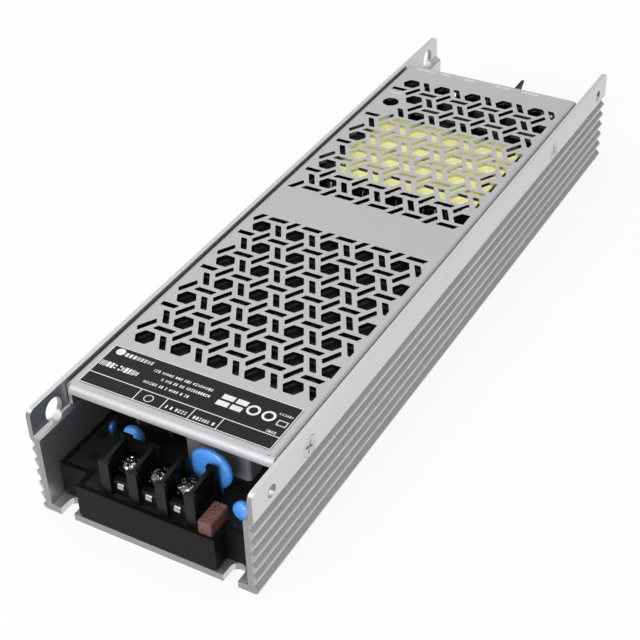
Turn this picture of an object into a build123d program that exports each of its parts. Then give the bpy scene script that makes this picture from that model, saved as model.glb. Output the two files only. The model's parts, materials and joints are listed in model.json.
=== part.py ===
import os
from math import cos, hypot, radians, sin

from build123d import *

os.makedirs("parts", exist_ok=True)

# Enclosed switching power supply: X is the width, Y the length with the mains end at -Y, Z is up.
length = 220.0
width = 62.0
height = 31.0
half_length = length / 2
half_width = width / 2
front_end = -half_length
rear_end = half_length

# Extruded aluminium channel with ribbed sides and thin ears above the ledge.
base_thickness = 2.0
wall_thickness = 2.8
ear_thickness = 1.7
ledge_height = height - 8.3
ledge_slope = 1.0
floor_fillet = 0.8
rib_count = 6
rib_depth = 1.1
rib_fall = 1.25
first_valley = 2.5
band_rise = 2.1
band_bottom = ledge_height + 0.2
rib_pitch = (band_bottom - band_rise - first_valley) / (rib_count - 1)
ear_round = 2.0
wall_inner = half_width - wall_thickness
ear_inner = half_width - ear_thickness

# Holes in the ears and open notches in the base.
side_hole_drop = 5.0
front_hole_inset = 8.2
rear_hole_inset = 7.4
right_hole_diameter = 3.4
left_hole_diameter = 6.0
notch_width = 4.0
notch_depth = 5.0
notch_offset = half_width - 7.6

# Perforated sheet cover with side flanges and a rolled front lip.
cover_thickness = 1.0
cover_drop = 0.2
cover_side_gap = 0.1
cover_bend = 1.6
cover_front_inset = 11.4
cover_rear_inset = 22.5
flange_gap = 0.2
lip_drop = 3.0
lip_radius = 1.4
lip_setback = 2.2
lip_end_gap = 1.8
cover_top = height - cover_drop
cover_underside = cover_top - cover_thickness
cover_half = ear_inner - cover_side_gap
cover_front = front_end + cover_front_inset
cover_rear = rear_end - cover_rear_inset
flange_bottom = ledge_height + ledge_slope + flange_gap

# Pinwheel perforation: hexagons on a triangular lattice with a slot across each lattice edge.
hex_pitch = 10.65
row_pitch = 9.33
hex_flats = 5.0
slot_side = 5.55
slot_width = 1.65
slot_angle = 60.0
hex_round = 0.5
slot_round = 0.3
lattice_x = -22.3
lattice_y = -17.6
field_half_width = cover_half - 2.4
front_field = (front_end + 33.3, -11.9)
rear_field = (4.0, rear_end - 31.7)
adjust_hole_x = 8.0 - half_width
adjust_hole_y = rear_end - 47.9
adjust_hole_diameter = 5.1
plain_patch_radius = 6.0

# Rating label near the mains end.
label_half_width = field_half_width
label_front = front_end + 15.0
label_length = 15.6
label_thickness = 0.12
label_round = 0.6

# Flush screws that hold the cover flanges to the ears.
cover_screw_y = (front_end + 25.3, rear_end - 44.7)
cover_screw_drop = 5.4
screw_diameter = 2.9
screw_head_diameter = 5.8
screw_head_angle = 90.0
screw_length = 5.0
socket_diameter = 2.0
socket_depth = 1.0
screw_gap = 0.1

# Black moulded tray that lines the channel, and the circuit board inside its rim.
tray_height = 10.0
tray_wall = 1.2
tray_floor = 1.0
tray_side_gap = 0.2
tray_wing_inset = 5.0
tray_end_inset = 0.2
front_nose_half_width = half_width - 11.4
rear_nose_half_width = half_width - 10.4
board_thickness = 1.6
board_gap = 0.15
post_diameter = 5.0
post_x = half_width - 11.0
post_rows = 5
tray_half = wall_inner - tray_side_gap
tray_top = base_thickness + tray_height
board_top = tray_top
board_bottom = board_top - board_thickness
nose_end = half_length - tray_end_inset
wing_end = half_length - tray_wing_inset
headroom = cover_underside - board_top

# Barrier terminal blocks.
barrier_flange = 2.8
barrier_flange_depth = 1.1
barrier_web = 1.1
rear_wall_thickness = 1.2
plate_thickness = 0.8
plate_inset = 0.3
plate_side_gap = 0.35
tang_clearance = 0.6
plate_fold = 0.7
terminal_hole_gap = 0.1
washer_thickness = 0.8

input_ways = 3
input_pitch = 7.95
input_x = 0.85
input_outer_y = front_end + 1.6
input_depth = 10.4
input_base_height = 3.4
input_barrier_height = 10.9
input_rear_height = 9.9
input_screw_diameter = 3.0
input_head_diameter = 5.2
input_head_height = 1.7
input_lift = 1.3

output_ways = 4
output_pitch = 8.2
output_x = 1.4
output_outer_y = rear_end - 2.8
output_depth = 11.0
output_base_height = 1.9
output_barrier_height = 4.6
output_centre_height = 7.2
output_rear_height = 3.2
output_screw_diameter = 3.5
output_head_diameter = 6.0
output_head_height = 1.5

# Small parts around the mains terminals.
fuse_size = (3.8, 7.7, 3.6)
fuse_gap = 0.6
fuse_inset = 3.2
disc_edge = 0.9
lead_diameter = 0.8
varistor_diameter = 11.8
varistor_thickness = 2.9
varistor_centre = (11.1, front_end + 14.9, 20.2)
varistor_lead_pitch = 7.5
y_capacitors = {
    "y_capacitor_left": ((-13.4, front_end + 17.6, 17.4), 7.0, 2.6, 5.0, 0),
    "y_capacitor_side": ((5.2 - wall_inner, front_end + 19.6, 15.6), 5.6, 2.4, 4.0, -60),
    "y_capacitor_right": ((wall_inner - 5.0, front_end + 9.0, 15.5), 4.8, 2.6, 3.0, 0),
}
x_capacitor_size = (18.0, 8.5, headroom - 3.4)
x_capacitor_centre = (7.9, front_end + 24.8)
box_round = 1.0

# Filter choke, rectifier, boost choke and reservoir capacitors under the front field.
toroid_centre = (-13.0, front_end + 33.0)
toroid_outer = 18.0
toroid_inner = 9.6
toroid_height = 9.0
winding_build = 1.3
winding_arc = 140.0
bridge_size = (20.0, 4.2, headroom - 4.3)
bridge_centre = (9.0, front_end + 36.0)
bridge_leg_pitch = 5.0
bridge_leg_count = 4
bridge_leg_length = 2.2
boost_size = (24.0, headroom - 2.3)
boost_centre = (10.0, front_end + 55.0)
boost_core_depth = 16.0
boost_leg_diameter = 9.6
boost_plate = 3.0
boost_coil_gap = 0.3
reservoir_diameter = headroom - 2.2
reservoir_front = boost_centre[1] + 19.0
reservoir_rear = 0.0
reservoir_gap = 1.6
reservoir_bead = 0.7
reservoir_bead_inset = 3.0

# Clipped transistors against the left wall.
transistor_size = (4.5, 10.0, 9.0)
tab_thickness = 1.3
tab_height = 13.0
transistor_leg = 1.6
transistor_leg_pitch = 2.5
transistor_leg_count = 3
primary_transistor_y = (front_end + 50.0, front_end + 62.0, front_end + 74.0)
output_transistor_y = (rear_end - 36.0, rear_end - 24.0)
clip_thickness = 0.9
clip_height = 4.0

# Twin transformers: ferrite core with yellow taped coil.
transformer_width = 17.2
transformer_gap = 0.2
transformer_y = (rear_end - 83.0, rear_end - 83.0 + transformer_width + transformer_gap)
coil_start = 6.6 - wall_inner
coil_end = wall_inner - 4.0
coil_headroom = 1.8
core_return = 2.6
core_yoke = 3.4
core_leg_diameter = 6.0
core_gap = 0.15
coil_height = headroom - coil_headroom - core_return - core_gap
coil_round = 1.2

# Output side.
rail_choke_x = (-8.5, 10.5)
rail_choke_y = rear_end - 45.5
rail_choke_diameter = 13.0
rail_choke_bore = 5.6
rail_choke_height = 10.5
smoothing_diameter = 8.0
smoothing_height = 14.0
smoothing_inset = 10.2
smoothing_pitch = 10.8
smoothing_columns = 4
smoothing_x = [smoothing_inset - wall_inner + column * smoothing_pitch for column in range(smoothing_columns)]
smoothing_y = (rear_end - 33.5, rear_end - 23.5)
smoothing_round = 0.6
control_board_size = (1.2, 18.0, headroom - 6.8)
control_board_centre = (wall_inner - 2.6, rear_end - 42.0)

# Single-turn trimmer under the round hole in the cover.
trimmer_size = 6.8
trimmer_height = 4.6
trimmer_well = 1.6
rotor_diameter = 4.6
rotor_gap = 0.05
rotor_thickness = 1.8
rotor_slot_width = 0.7
rotor_slot_depth = 0.7

# Black film folded over the mains section.
film_thickness = 0.4
film_side_gap = 0.3
film_top_gap = 1.0
film_front = front_end + 30.0
film_rear = 2.6
film_bend = 1.5


def finish(name, builder):
    builder.part.label = name
    export_step(builder.part, f"parts/{name}.step")


def lattice_points(field, shift_x, shift_y):
    rows = int(length / row_pitch)
    columns = int(width / hex_pitch)
    points = []
    for row in range(-rows, rows):
        for column in range(-columns, columns + 2):
            x = lattice_x + (column + row % 2 / 2) * hex_pitch + shift_x
            y = lattice_y + row * row_pitch + shift_y
            inside = field[0] < y < field[1] and abs(x) < field_half_width
            if inside and hypot(x - adjust_hole_x, y - adjust_hole_y) > plain_patch_radius:
                points.append((x, y))
    return points


def slot_corners(side_angle, end_angle):
    end_length = slot_width / sin(radians(slot_angle))
    side = Vector(cos(radians(side_angle)), sin(radians(side_angle))) * slot_side / 2
    end = Vector(cos(radians(end_angle)), sin(radians(end_angle))) * end_length / 2
    return [side + end, side - end, -side - end, end - side]


def punched_slot(side_angle, end_angle):
    with BuildSketch() as slot:
        Polygon(*slot_corners(side_angle, end_angle), align=None)
        fillet(slot.vertices(), radius=slot_round)
    return slot.sketch


with BuildSketch() as punched_hexagon:
    RegularPolygon(hex_flats / 2, 6, major_radius=False)
    fillet(punched_hexagon.vertices(), radius=hex_round)

# Channel: half outline from the floor centre round the foot, up the ribs and down the inside.
rib_outline = []
for rib in range(rib_count):
    valley = first_valley + rib * rib_pitch
    rib_outline += [(half_width, valley - rib_fall), (half_width - rib_depth, valley)]
foot_round = first_valley - rib_fall

with BuildPart() as case:
    with BuildSketch(Plane.XZ.offset(-half_length)):
        with BuildLine():
            Line((0, 0), (half_width - foot_round, 0))
            TangentArc((half_width - foot_round, 0), (half_width, foot_round), tangent=(1, 0))
            Polyline(
                *rib_outline,
                (half_width, band_bottom),
                (half_width, height),
                (ear_inner, height),
                (ear_inner, ledge_height + ledge_slope),
                (wall_inner, ledge_height),
                (wall_inner, base_thickness + floor_fillet),
            )
            TangentArc(
                (wall_inner, base_thickness + floor_fillet),
                (wall_inner - floor_fillet, base_thickness),
                tangent=(0, -1),
            )
            Line((wall_inner - floor_fillet, base_thickness), (0, base_thickness))
            mirror(about=Plane.YZ)
        make_face()
    extrude(amount=length)
    fillet(edges().filter_by(Axis.X).group_by(Axis.Z)[-1], radius=ear_round)
    side_holes = [
        (front_end + front_hole_inset, height - side_hole_drop),
        (rear_end - rear_hole_inset, height - side_hole_drop),
    ]
    for side, diameter in ((1, right_hole_diameter), (-1, left_hole_diameter)):
        with BuildSketch(Plane.YZ.offset(side * half_width)):
            with Locations(*side_holes):
                Circle(diameter / 2)
        extrude(amount=-side * 2 * ear_thickness, mode=Mode.SUBTRACT)
    screw_seats = [
        Plane(origin=(side * half_width, y, height - cover_screw_drop), z_dir=(side, 0, 0))
        for side in (-1, 1)
        for y in cover_screw_y
    ]
    with Locations(*screw_seats):
        CounterSinkHole(
            radius=screw_diameter / 2 + screw_gap,
            counter_sink_radius=screw_head_diameter / 2 + screw_gap / 2,
            depth=2 * ear_thickness,
            counter_sink_angle=screw_head_angle,
        )
    with BuildSketch():
        with GridLocations(2 * notch_offset, length, 2, 2):
            SlotOverall(2 * notch_depth, notch_width, rotation=90)
    extrude(amount=base_thickness, mode=Mode.SUBTRACT)
finish("case", case)

with BuildPart() as cover:
    with BuildSketch(Plane.XZ.offset(-cover_rear)) as cover_profile:
        with Locations((0, flange_bottom)):
            Rectangle(2 * cover_half, cover_top - flange_bottom, align=(Align.CENTER, Align.MIN))
        fillet(cover_profile.vertices().group_by(Axis.Y)[-1], radius=cover_bend)
        with BuildSketch(mode=Mode.SUBTRACT) as cover_hollow:
            with Locations((0, flange_bottom)):
                Rectangle(
                    2 * (cover_half - cover_thickness),
                    cover_underside - flange_bottom,
                    align=(Align.CENTER, Align.MIN),
                )
            fillet(cover_hollow.vertices().group_by(Axis.Y)[-1], radius=cover_bend - cover_thickness)
    extrude(amount=cover_rear - cover_front - lip_setback)
    with BuildSketch(Plane.YZ.offset(-cover_half + lip_end_gap)):
        with BuildLine():
            lip_start = cover_front + lip_setback
            Line((lip_start, cover_top), (cover_front + lip_radius, cover_top))
            TangentArc(
                (cover_front + lip_radius, cover_top),
                (cover_front, cover_top - lip_radius),
                tangent=(-1, 0),
            )
            Polyline(
                (cover_front, cover_top - lip_radius),
                (cover_front, cover_top - lip_drop),
                (cover_front + cover_thickness, cover_top - lip_drop),
                (cover_front + cover_thickness, cover_top - lip_radius),
            )
            TangentArc(
                (cover_front + cover_thickness, cover_top - lip_radius),
                (cover_front + lip_radius, cover_underside),
                tangent=(0, 1),
            )
            Polyline(
                (cover_front + lip_radius, cover_underside),
                (lip_start, cover_underside),
                (lip_start, cover_top),
            )
        make_face()
    extrude(amount=2 * (cover_half - lip_end_gap))
    for field in (front_field, rear_field):
        with BuildSketch(Plane.XY.offset(cover_top)):
            with Locations(*lattice_points(field, 0, 0)):
                add(punched_hexagon.sketch)
            with Locations(*lattice_points(field, hex_pitch / 2, 0)):
                add(punched_slot(180 - slot_angle, 0))
            with Locations(*lattice_points(field, hex_pitch / 4, row_pitch / 2)):
                add(punched_slot(0, slot_angle))
            with Locations(*lattice_points(field, -hex_pitch / 4, row_pitch / 2)):
                add(punched_slot(slot_angle, 180 - slot_angle))
            with Locations((0, (field[0] + field[1]) / 2)):
                Rectangle(2 * field_half_width, field[1] - field[0], mode=Mode.INTERSECT)
        extrude(amount=-cover_thickness, mode=Mode.SUBTRACT)
    with Locations((adjust_hole_x, adjust_hole_y, cover_top)):
        Hole(adjust_hole_diameter / 2, depth=cover_thickness)
    with Locations(*screw_seats):
        Hole(screw_diameter / 2 + screw_gap, depth=ear_thickness + cover_side_gap + 2 * cover_thickness)
finish("cover", cover)

with BuildPart() as rating_label:
    with BuildSketch(Plane.XY.offset(cover_top)):
        with Locations((0, label_front)):
            RectangleRounded(
                2 * label_half_width, label_length, label_round, align=(Align.CENTER, Align.MIN)
            )
    extrude(amount=label_thickness)
finish("rating_label", rating_label)

with BuildPart() as cover_screws:
    head_depth = (screw_head_diameter - screw_diameter) / 2
    with Locations(*screw_seats):
        Cylinder(screw_diameter / 2, screw_length, align=(Align.CENTER, Align.CENTER, Align.MAX))
        Cone(
            screw_diameter / 2,
            screw_head_diameter / 2,
            head_depth,
            align=(Align.CENTER, Align.CENTER, Align.MAX),
        )
        Cylinder(
            socket_diameter / 2,
            socket_depth,
            align=(Align.CENTER, Align.CENTER, Align.MAX),
            mode=Mode.SUBTRACT,
        )
finish("cover_screws", cover_screws)


# Plan of the tray or the board: full width between the walls, with a narrower nose at each end.
def nose_plan(inset):
    Rectangle(2 * (tray_half - inset), 2 * (wing_end - inset))
    for side, nose in ((-1, front_nose_half_width), (1, rear_nose_half_width)):
        with Locations((0, side * (nose_end - inset) / 2)):
            Rectangle(2 * (nose - inset), nose_end - inset)


with BuildPart() as tray:
    with BuildSketch(Plane.XY.offset(base_thickness)):
        nose_plan(0)
    extrude(amount=tray_height)
    chamfer(edges().filter_by(Axis.Y).group_by(Axis.Z)[0], length=floor_fillet)
    with BuildSketch(Plane.XY.offset(base_thickness + tray_floor)):
        nose_plan(tray_wall)
    extrude(amount=tray_height - tray_floor, mode=Mode.SUBTRACT)
    with BuildSketch(Plane.XY.offset(base_thickness + tray_floor)):
        with GridLocations(2 * post_x, 2 * wing_end / post_rows, 2, post_rows):
            Circle(post_diameter / 2)
    extrude(amount=board_bottom - base_thickness - tray_floor)
finish("tray", tray)

with BuildPart() as circuit_board:
    with BuildSketch(Plane.XY.offset(board_bottom)):
        nose_plan(tray_wall + board_gap)
    extrude(amount=board_thickness)
finish("circuit_board", circuit_board)


# Barrier strip: base set back between I-shaped barriers, with a wall behind the ways.
def barrier_strip(ways, pitch, centre, outer_y, facing, depth, base, barrier, tall, wall, bore):
    middle_y = outer_y - facing * depth / 2
    flange_y = (depth - barrier_flange_depth) / 2
    with BuildPart() as strip:
        with BuildSketch(Plane.XY.offset(board_top)):
            with Locations((centre, middle_y - facing * barrier_flange_depth / 2)):
                Rectangle(ways * pitch + barrier_flange, depth - barrier_flange_depth)
        extrude(amount=base)
        with BuildSketch(Plane.XY.offset(board_top)):
            with Locations((centre, middle_y - facing * (depth - rear_wall_thickness) / 2)):
                Rectangle(ways * pitch + barrier_flange, rear_wall_thickness)
        extrude(amount=wall)
        for index in range(ways + 1):
            middle = tall is not None and 2 * index == ways
            with BuildSketch(Plane.XY.offset(board_top)):
                with Locations((centre + (index - ways / 2) * pitch, middle_y)):
                    Rectangle(barrier_web, depth)
                    with Locations((0, flange_y), (0, -flange_y)):
                        Rectangle(barrier_flange, barrier_flange_depth)
            extrude(amount=tall if middle else barrier)
        with Locations((centre, middle_y, board_top + base)):
            with GridLocations(pitch, 0, ways, 1):
                Hole(bore / 2 + terminal_hole_gap, depth=base)
    return strip


# Tinned plates on the base, each with a tang folded down over its outer face.
def terminal_plates(ways, pitch, centre, outer_y, facing, depth, base, bore):
    plate_width = pitch - barrier_flange - 2 * plate_side_gap
    plate_length = depth - plate_inset - rear_wall_thickness
    plate_y = outer_y - facing * plate_inset
    tang_bottom = board_top + tang_clearance
    with BuildPart() as plates:
        with BuildSketch(Plane.XY.offset(board_top + base)):
            with Locations((centre, plate_y - facing * plate_length / 2)):
                with GridLocations(pitch, 0, ways, 1):
                    Rectangle(plate_width, plate_length)
        extrude(amount=plate_thickness)
        with BuildSketch(Plane.XY.offset(tang_bottom)):
            with Locations((centre, plate_y - facing * plate_thickness / 2)):
                with GridLocations(pitch, 0, ways, 1):
                    Rectangle(plate_width, plate_thickness)
        extrude(amount=board_top + base + plate_thickness - tang_bottom)
        folds = plates.edges().filter_by(Axis.X).group_by(Axis.Z)[-1].sort_by(Axis.Y)
        fillet(folds[:ways] if facing < 0 else folds[-ways:], radius=plate_fold)
        with Locations((centre, outer_y - facing * depth / 2, board_top + base + plate_thickness)):
            with GridLocations(pitch, 0, ways, 1):
                Hole(bore / 2 + terminal_hole_gap, depth=plate_thickness)
    return plates


# Pan-head screws in the middle of each way, standing off the plate by the lift.
def terminal_screws(ways, pitch, centre, outer_y, facing, depth, base, bore, head, head_height, lift):
    underside = board_top + base + plate_thickness + lift
    middle_y = outer_y - facing * depth / 2
    with BuildPart() as screws:
        with Locations((centre, middle_y, underside)):
            with GridLocations(pitch, 0, ways, 1):
                Cylinder(head / 2, head_height, align=(Align.CENTER, Align.CENTER, Align.MIN))
                Cylinder(bore / 2, base + plate_thickness, align=(Align.CENTER, Align.CENTER, Align.MAX))
    return screws


input_terminal_block = barrier_strip(
    input_ways, input_pitch, input_x, input_outer_y, -1, input_depth,
    input_base_height, input_barrier_height, None, input_rear_height, input_screw_diameter,
)
finish("input_terminal_block", input_terminal_block)
input_terminal_plates = terminal_plates(
    input_ways, input_pitch, input_x, input_outer_y, -1, input_depth,
    input_base_height, input_screw_diameter,
)
finish("input_terminal_plates", input_terminal_plates)
input_terminal_screws = terminal_screws(
    input_ways, input_pitch, input_x, input_outer_y, -1, input_depth, input_base_height,
    input_screw_diameter, input_head_diameter, input_head_height, input_lift + washer_thickness,
)
finish("input_terminal_screws", input_terminal_screws)

output_terminal_block = barrier_strip(
    output_ways, output_pitch, output_x, output_outer_y, 1, output_depth,
    output_base_height, output_barrier_height, output_centre_height, output_rear_height,
    output_screw_diameter,
)
finish("output_terminal_block", output_terminal_block)
output_terminal_plates = terminal_plates(
    output_ways, output_pitch, output_x, output_outer_y, 1, output_depth,
    output_base_height, output_screw_diameter,
)
finish("output_terminal_plates", output_terminal_plates)
output_terminal_screws = terminal_screws(
    output_ways, output_pitch, output_x, output_outer_y, 1, output_depth, output_base_height,
    output_screw_diameter, output_head_diameter, output_head_height, 0,
)
finish("output_terminal_screws", output_terminal_screws)

with BuildPart() as input_clamp_washers:
    washer_side = input_pitch - barrier_flange - 2 * plate_side_gap
    washer_y = input_outer_y + input_depth / 2
    with BuildSketch(Plane.XY.offset(board_top + input_base_height + plate_thickness + input_lift)):
        with Locations((input_x, washer_y)):
            with GridLocations(input_pitch, 0, input_ways, 1):
                Rectangle(washer_side, washer_side)
                Circle(input_screw_diameter / 2 + terminal_hole_gap, mode=Mode.SUBTRACT)
    extrude(amount=washer_thickness)
finish("input_clamp_washers", input_clamp_washers)


# Upright boxed part with rounded top and side edges, standing on the board.
def board_box(centre, size, rounding):
    with BuildPart() as box:
        with BuildSketch(Plane.XY.offset(board_top)):
            with Locations(centre):
                RectangleRounded(size[0], size[1], rounding)
        extrude(amount=size[2])
        chamfer(box.faces().sort_by(Axis.Z)[-1].edges(), length=rounding / 2)
    return box


# Coated disc on two leads that reach down to the board; turned about Z by the given angle.
def coated_disc(centre, diameter, thickness, lead_pitch, turn):
    plane = Plane(origin=centre, x_dir=(0, 0, 1), z_dir=(sin(radians(turn)), -cos(radians(turn)), 0))
    across = plane.y_dir
    with BuildPart() as disc:
        with BuildSketch(plane):
            Circle(diameter / 2)
        extrude(amount=thickness / 2, both=True)
        fillet(disc.edges().filter_by(GeomType.CIRCLE), radius=disc_edge)
        leads = [
            Plane(origin=(centre[0] + across.X * side, centre[1] + across.Y * side, board_top))
            for side in (-lead_pitch / 2, lead_pitch / 2)
        ]
        for lead in leads:
            with BuildSketch(lead):
                Circle(lead_diameter / 2)
            extrude(amount=centre[2] - board_top)
    return disc


fuse_x = input_x + (input_ways * input_pitch + barrier_flange + fuse_size[0]) / 2 + fuse_gap
fuse = board_box((fuse_x, input_outer_y + fuse_inset), fuse_size, box_round / 2)
finish("fuse", fuse)
x_capacitor = board_box(x_capacitor_centre, x_capacitor_size, box_round)
finish("x_capacitor", x_capacitor)
varistor = coated_disc(
    varistor_centre, varistor_diameter, varistor_thickness, varistor_lead_pitch, 0
)
finish("varistor", varistor)
for name, (centre, diameter, thickness, pitch, turn) in y_capacitors.items():
    finish(name, coated_disc(centre, diameter, thickness, pitch, turn))

with BuildPart() as filter_choke_core:
    with BuildSketch(Plane.XY.offset(board_top + winding_build)):
        with Locations(toroid_centre):
            Circle(toroid_outer / 2)
            Circle(toroid_inner / 2, mode=Mode.SUBTRACT)
    extrude(amount=toroid_height)
finish("filter_choke_core", filter_choke_core)

with BuildPart() as filter_choke_windings:
    ring_centre = (toroid_outer + toroid_inner) / 4
    ring_width = (toroid_outer - toroid_inner) / 2
    middle_z = board_top + winding_build + toroid_height / 2
    for start in (0, 180):
        section = Plane(
            origin=(toroid_centre[0], toroid_centre[1], middle_z),
            x_dir=(cos(radians(start - winding_arc / 2)), sin(radians(start - winding_arc / 2)), 0),
            z_dir=(sin(radians(start - winding_arc / 2)), -cos(radians(start - winding_arc / 2)), 0),
        )
        with BuildSketch(section):
            with Locations((ring_centre, 0)):
                Rectangle(ring_width + 2 * winding_build, toroid_height + 2 * winding_build)
                chamfer(vertices(), length=winding_build)
                Rectangle(ring_width, toroid_height, mode=Mode.SUBTRACT)
        revolve(
            axis=Axis((toroid_centre[0], toroid_centre[1], 0), (0, 0, 1)), revolution_arc=winding_arc
        )
finish("filter_choke_windings", filter_choke_windings)

with BuildPart() as bridge_rectifier:
    bridge_base = board_top + bridge_leg_length
    with BuildSketch(Plane.XY.offset(bridge_base)):
        with Locations(bridge_centre):
            Rectangle(bridge_size[0], bridge_size[1])
    extrude(amount=bridge_size[2])
    chamfer(edges().filter_by(Axis.Z).group_by(Axis.X)[-1], length=box_round)
    with BuildSketch(Plane.XY.offset(board_top)):
        with Locations(bridge_centre):
            with GridLocations(bridge_leg_pitch, 0, bridge_leg_count, 1):
                Rectangle(lead_diameter, lead_diameter)
    extrude(amount=bridge_leg_length)
finish("bridge_rectifier", bridge_rectifier)

with BuildPart() as boost_choke_core:
    with BuildSketch(Plane.XY.offset(board_top)):
        with Locations(boost_centre):
            Rectangle(boost_size[0], boost_core_depth)
    extrude(amount=boost_size[1])
    with BuildSketch(Plane.XY.offset(board_top + boost_plate)):
        with Locations(boost_centre):
            Rectangle(boost_size[0] - 2 * boost_plate, boost_size[0])
            Circle(boost_leg_diameter / 2, mode=Mode.SUBTRACT)
    extrude(amount=boost_size[1] - 2 * boost_plate, mode=Mode.SUBTRACT)
finish("boost_choke_core", boost_choke_core)

with BuildPart() as boost_choke_winding:
    with BuildSketch(Plane.XY.offset(board_top + boost_plate + boost_coil_gap)):
        with Locations(boost_centre):
            Circle(boost_size[0] / 2 - boost_plate - boost_coil_gap)
            Circle(boost_leg_diameter / 2 + boost_coil_gap, mode=Mode.SUBTRACT)
    extrude(amount=boost_size[1] - 2 * (boost_plate + boost_coil_gap))
finish("boost_choke_winding", boost_choke_winding)

# Reservoir capacitors lie along the board, each with a rolled bead at its seal.
for side, place in ((-1, "left"), (1, "right")):
    with BuildPart() as reservoir:
        radius = reservoir_diameter / 2
        x = side * (radius + reservoir_gap / 2)
        axis_height = board_top + radius
        section = Plane(origin=(x, reservoir_front, axis_height), x_dir=(0, 1, 0), z_dir=(1, 0, 0))
        with BuildSketch(section):
            with BuildLine():
                Polyline(
                    (0, 0),
                    (0, radius - reservoir_bead),
                    (reservoir_bead, radius),
                    (reservoir_bead_inset - reservoir_bead, radius),
                    (reservoir_bead_inset, radius - reservoir_bead),
                    (reservoir_bead_inset + reservoir_bead, radius),
                    (reservoir_rear - reservoir_front, radius),
                    (reservoir_rear - reservoir_front, 0),
                    close=True,
                )
            make_face()
        revolve(axis=Axis((x, reservoir_front, axis_height), (0, 1, 0)))
    finish(f"reservoir_capacitor_{place}", reservoir)


# Row of clipped transistors on a wall: body, tab behind it and three legs each.
def transistor_row(y_values, tab_x, facing):
    body, across, tall = transistor_size
    with BuildPart() as row:
        for y in y_values:
            with BuildSketch(Plane.XY.offset(board_top + transistor_leg)):
                with Locations((tab_x + facing * body / 2, y)):
                    Rectangle(body, across)
            extrude(amount=tall)
            with BuildSketch(Plane.XY.offset(board_top + transistor_leg + tall)):
                with Locations((tab_x + facing * tab_thickness / 2, y)):
                    Rectangle(tab_thickness, across)
            extrude(amount=tab_height - tall)
            with BuildSketch(Plane.XY.offset(board_top)):
                with Locations((tab_x + facing * body / 2, y)):
                    with GridLocations(0, transistor_leg_pitch, 1, transistor_leg_count):
                        Rectangle(lead_diameter, lead_diameter)
            extrude(amount=transistor_leg)
    return row


def clip_bar(y_values, tab_x, facing):
    with BuildPart() as bar:
        clip_x = tab_x + facing * (transistor_size[0] + clip_thickness / 2)
        clip_z = board_top + transistor_leg + transistor_size[2] / 2
        clip_length = y_values[-1] - y_values[0] + transistor_size[1]
        with BuildSketch(Plane.XY.offset(clip_z - clip_height / 2)):
            with Locations((clip_x, (y_values[0] + y_values[-1]) / 2)):
                Rectangle(clip_thickness, clip_length)
        extrude(amount=clip_height)
    return bar


film_half = wall_inner - film_side_gap
primary_transistors = transistor_row(primary_transistor_y, -film_half + film_thickness, 1)
finish("primary_transistors", primary_transistors)
primary_clip = clip_bar(primary_transistor_y, -film_half + film_thickness, 1)
finish("primary_clip", primary_clip)
output_transistors = transistor_row(output_transistor_y, -wall_inner, 1)
finish("output_transistors", output_transistors)
output_clip = clip_bar(output_transistor_y, -wall_inner, 1)
finish("output_clip", output_clip)

# Twin transformers, each a core with two yokes and a return under a taped coil.
coil_bottom = board_top + core_return + core_gap
coil_middle = coil_bottom + coil_height / 2
for place, middle_y in zip(("front", "rear"), transformer_y):
    with BuildPart() as core:
        core_length = coil_end - coil_start + 2 * (core_yoke + core_gap)
        core_x = (coil_start + coil_end) / 2
        with BuildSketch(Plane.XY.offset(board_top)):
            with Locations((core_x, middle_y)):
                Rectangle(core_length, transformer_width)
        extrude(amount=core_return + core_gap + coil_height)
        with BuildSketch(Plane.XY.offset(board_top + core_return)):
            with Locations((core_x, middle_y)):
                Rectangle(core_length - 2 * core_yoke, transformer_width)
        extrude(amount=coil_height + core_gap, mode=Mode.SUBTRACT)
        with BuildSketch(Plane(origin=(core_x, middle_y, coil_middle), z_dir=(1, 0, 0))):
            Circle(core_leg_diameter / 2)
        extrude(amount=core_length / 2 - core_yoke, both=True)
    finish(f"transformer_core_{place}", core)
    with BuildPart() as coil:
        with BuildSketch(Plane(origin=(core_x, middle_y, coil_middle), x_dir=(0, 1, 0), z_dir=(1, 0, 0))):
            RectangleRounded(transformer_width, coil_height, coil_round)
            Circle(core_leg_diameter / 2 + core_gap, mode=Mode.SUBTRACT)
        extrude(amount=(coil_end - coil_start) / 2, both=True)
    finish(f"transformer_coil_{place}", coil)

with BuildPart() as rail_chokes:
    with BuildSketch(Plane.XY.offset(board_top)):
        with Locations(*[(x, rail_choke_y) for x in rail_choke_x]):
            Circle(rail_choke_diameter / 2)
            Circle(rail_choke_bore / 2, mode=Mode.SUBTRACT)
    extrude(amount=rail_choke_height)
finish("rail_chokes", rail_chokes)

with BuildPart() as smoothing_capacitors:
    with BuildSketch(Plane.XY.offset(board_top)):
        with Locations(*[(x, y) for x in smoothing_x for y in smoothing_y]):
            Circle(smoothing_diameter / 2)
    extrude(amount=smoothing_height)
    chamfer(faces().group_by(Axis.Z)[-1].edges(), length=smoothing_round)
finish("smoothing_capacitors", smoothing_capacitors)

with BuildPart() as control_board:
    with BuildSketch(Plane.XY.offset(board_top)):
        with Locations(control_board_centre):
            Rectangle(control_board_size[0], control_board_size[1])
    extrude(amount=control_board_size[2])
finish("control_board", control_board)

with BuildPart() as trimmer_body:
    with BuildSketch(Plane.XY.offset(board_top)):
        with Locations((adjust_hole_x, adjust_hole_y)):
            Rectangle(trimmer_size, trimmer_size)
    extrude(amount=trimmer_height)
    with Locations((adjust_hole_x, adjust_hole_y, board_top + trimmer_height)):
        Hole(rotor_diameter / 2 + rotor_gap, depth=trimmer_well)
finish("trimmer_body", trimmer_body)

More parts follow.
